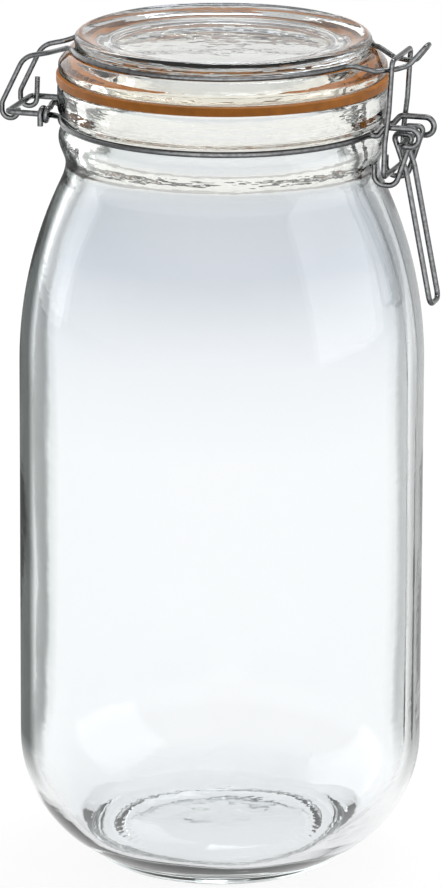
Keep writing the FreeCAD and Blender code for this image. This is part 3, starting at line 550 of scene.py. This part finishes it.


# Colours of the glass by height, from the foot up. The floor is greyer, partly the thick glass's own tint
# and partly painted shade for the darker light under the jar; the shoulder is greyer still, painted shade
# standing in for the dim room it mirrors; the neck is faintly warm.
JAR_TINTS_AND_SHADE = [(0, "#F6F7F9"), (11, "#F3F5F7"), (17, "#FAFBFC"), (28, "#FBFCFD"), (130, "#FBFCFD"),
             (158, "#F3F5F8"), (182, "#DEE2E7"), (198, "#E6E9EC"), (206, "#FEFEFC"), (240, "#FCFAF5")]
LID_TINTS = [(0, "#FAF5EA"), (234, "#FAF5EA"), (238, "#EEF3FA"), (241, "#EEF3FA")]


class JAR_OT_press_jar(bpy.types.Operator):
    """Make the jar's glass: heel, cylinder, shoulder, neck, wire groove and rim, hollow inside"""

    bl_idname = "jar.press_jar"
    bl_label = "Jar glass"

    def execute(self, context):
        melt = context.scene.jar_sizes.corner_melt / MM
        line = even_points(outline_points(JAR_OUTLINE), OUTLINE_STEP)
        # the bead over the collar is three times as soft as the rest
        collar = bell(line[:, 1:] - COLLAR - 10.0, 9.0)
        crisp = melted(line, OUTLINE_STEP, melt)
        soft = melted(line, OUTLINE_STEP, 3 * melt)
        line = spaced_by_bend(crisp * (1 - collar) + soft * collar, 250, 5.0)
        piece = lathe("jar_body", line, TURNS, blown_wall)
        piece.data.materials.append(soda_lime_glass("soda_lime_glass", JAR_TINTS_AND_SHADE))
        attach(piece, "jar")
        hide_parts("jar_glass")
        return {"FINISHED"}


class JAR_OT_press_lid(bpy.types.Operator):
    """Make the lid's glass: flange, wire ledge, raised rim, stepped middle and spigot"""

    bl_idname = "jar.press_lid"
    bl_label = "Lid glass"

    def execute(self, context):
        melt = context.scene.jar_sizes.corner_melt / MM
        line = even_points(outline_points(LID_OUTLINE), OUTLINE_STEP)
        line = spaced_by_bend(melted(line, OUTLINE_STEP, melt), 230, 3.0)
        piece = lathe("lid_disc", line, TURNS)
        piece.data.materials.append(soda_lime_glass("soda_lime_glass_lid", LID_TINTS))
        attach(piece, "lid")
        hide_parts("lid_glass")
        return {"FINISHED"}


class JAR_OT_mould_ring(bpy.types.Operator):
    """Make the rubber ring between the rim and the lid"""

    bl_idname = "jar.mould_ring"
    bl_label = "Rubber ring"

    def execute(self, context):
        line = even_points(outline_points(GASKET_OUTLINE, closed=True), OUTLINE_STEP / 2)
        piece = lathe("rubber_ring", spaced_by_bend(line, 90, 1.0), TURNS)
        piece.data.materials.append(natural_rubber())
        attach(piece, "lid")
        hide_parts("gasket")
        return {"FINISHED"}


class JAR_OT_finish_wires(bpy.types.Operator):
    """Give the CAD wires their drawn steel"""

    bl_idname = "jar.finish_wires"
    bl_label = "Wires"

    def execute(self, context):
        steel = drawn_steel("drawn_steel")
        for name in ("neck_wire", "lid_wire", "lever", "link"):
            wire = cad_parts[name]
            wire.data.materials.clear()
            wire.data.materials.append(steel)
        return {"FINISHED"}


# --- Stage ------------------------------------------------------------------------------------
# Places and sizes in metres.
TABLE_HALF = 6.0  # half the table's width
TABLE_DROP = 5e-5  # how far the table lies under the foot
CAMERA_ROUND = math.radians(17.0)  # from the front towards +X
CAMERA_UP = math.radians(15.53)
CAMERA_ROLL = math.radians(0.234)
CAMERA_TARGET = Vector((0, 0, 0.121))
LENS = 284.4  # focal length in millimetres
LENS_SHIFT = -0.0011
LAMP_TARGET = (0, 0, 0.12)
# Tall soft lamps left and right behind the jar, and one above: name, place, size and watts.
LAMPS = (("lamp_left", (-1.3, 0.6, 0.7), (1.8, 1.8), 11.0),
         ("lamp_right", (1.5, 0.2, 0.7), (1.6, 1.8), 8.0),
         ("lamp_top", (0.1, 0.5, 1.7), (1.0, 0.6), 16.0))


def aim(place, target, roll=0.0):
    """A matrix that stands at place and looks down its -Z at target, turned by roll about its own Z."""
    heading = (Vector(target) - Vector(place)).to_track_quat("-Z", "Y").to_matrix().to_4x4()
    return Matrix.Translation(place) @ heading @ Matrix.Rotation(roll, 4, "Z")


def set_camera(scene):
    """The scene's camera, on a sphere about its target: (cos up sin round, -cos up cos round, sin up)."""
    level = math.cos(CAMERA_UP)
    direction = Vector((level * math.sin(CAMERA_ROUND), -level * math.cos(CAMERA_ROUND),
                        math.sin(CAMERA_UP)))
    lens = bpy.data.cameras.new("camera")
    lens.lens = LENS
    lens.shift_x = LENS_SHIFT
    camera = bpy.data.objects.new("camera", lens)
    place = CAMERA_TARGET + scene.jar_sizes.camera_distance * direction
    camera.matrix_world = aim(place, CAMERA_TARGET, CAMERA_ROLL)
    scene.collection.objects.link(camera)
    scene.camera = camera


def studio():
    """The surroundings: white to the camera, a room that greys overhead in glass and metal, and a
    dim even light on everything else."""
    world = bpy.data.worlds.new("studio")
    world.use_nodes = True
    tree = world.node_tree
    tree.nodes.clear()
    heading = add(tree, "ShaderNodeTexCoord").outputs["Generated"]
    height = add(tree, "ShaderNodeSeparateXYZ", Vector=heading).outputs["Z"]
    room = add(tree, "ShaderNodeValToRGB", {"stops": [
        (0.0, linear("#FFFFFF")), (0.1, linear("#FFFFFF")), (0.3, linear("#CECECE")),
        (0.6, linear("#DADADA")), (1.0, linear("#CBCBCB"))]}, Fac=height)
    path = add(tree, "ShaderNodeLightPath")
    mirror = add(tree, "ShaderNodeMath", {"operation": "MAXIMUM"},
                 n0=path.outputs["Is Glossy Ray"], n1=path.outputs["Is Transmission Ray"])
    plain = add(tree, "ShaderNodeMix", {"data_type": "RGBA"}, Factor=path.outputs["Is Camera Ray"],
                n6=linear("#A6A6A6"), n7=linear("#FFFFFF"))
    sky = add(tree, "ShaderNodeMix", {"data_type": "RGBA"}, Factor=mirror.outputs[0],
              n6=plain.outputs[2], n7=room.outputs["Color"])
    back = add(tree, "ShaderNodeBackground", Color=sky.outputs[2], Strength=1.0)
    add(tree, "ShaderNodeOutputWorld", Surface=back.outputs[0])
    return world


class JAR_OT_set_stage(bpy.types.Operator):
    """Set the white table, the soft lamps, the surroundings and the camera"""

    bl_idname = "jar.set_stage"
    bl_label = "Stage"

    def execute(self, context):
        scene = context.scene
        sides = np.array([[-1, -1], [1, -1], [1, 1], [-1, 1]]) * TABLE_HALF
        table = mesh_from("table", np.column_stack([sides, np.full(4, -TABLE_DROP)]), [[0, 1, 2, 3]])
        table.data.materials.append(white_table())
        set_camera(scene)
        for name, place, size, watts in LAMPS:
            light = bpy.data.lights.new(name, "AREA")
            light.shape = "RECTANGLE"
            light.size, light.size_y = size
            light.energy = watts
            lamp = bpy.data.objects.new(name, light)
            lamp.matrix_world = aim(place, LAMP_TARGET)
            scene.collection.objects.link(lamp)
        scene.world = studio()
        scene.view_settings.view_transform = "Standard"
        return {"FINISHED"}


class JAR_PT_panel(bpy.types.Panel):
    """Lists the jar's pieces and finishes"""

    bl_idname = "JAR_PT_panel"
    bl_label = "Preserving jar"
    bl_space_type = "VIEW_3D"
    bl_region_type = "UI"
    bl_category = "Jar"

    def draw(self, context):
        layout = self.layout
        for group in (context.scene.jar_sizes, context.scene.jar_finish):
            for key in group.__annotations__:
                layout.prop(group, key)
        for operator in OPERATORS:
            layout.operator(operator.bl_idname)


OPERATORS = (JAR_OT_press_jar, JAR_OT_press_lid, JAR_OT_mould_ring, JAR_OT_finish_wires, JAR_OT_set_stage)
CLASSES = (JarSizes, JarFinish) + OPERATORS + (JAR_PT_panel,)


def register():
    """Register the classes and hang both groups of properties on the scene."""
    for item in CLASSES:
        bpy.utils.register_class(item)
    bpy.types.Scene.jar_sizes = PointerProperty(type=JarSizes)
    bpy.types.Scene.jar_finish = PointerProperty(type=JarFinish)


def unregister():
    """Take both groups and the classes away again."""
    del bpy.types.Scene.jar_finish
    del bpy.types.Scene.jar_sizes
    for item in reversed(CLASSES):
        bpy.utils.unregister_class(item)


def main():
    """Register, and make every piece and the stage."""
    register()
    bpy.ops.jar.press_jar()
    bpy.ops.jar.press_lid()
    bpy.ops.jar.mould_ring()
    bpy.ops.jar.finish_wires()
    bpy.ops.jar.set_stage()


if __name__ == "__main__":
    main()
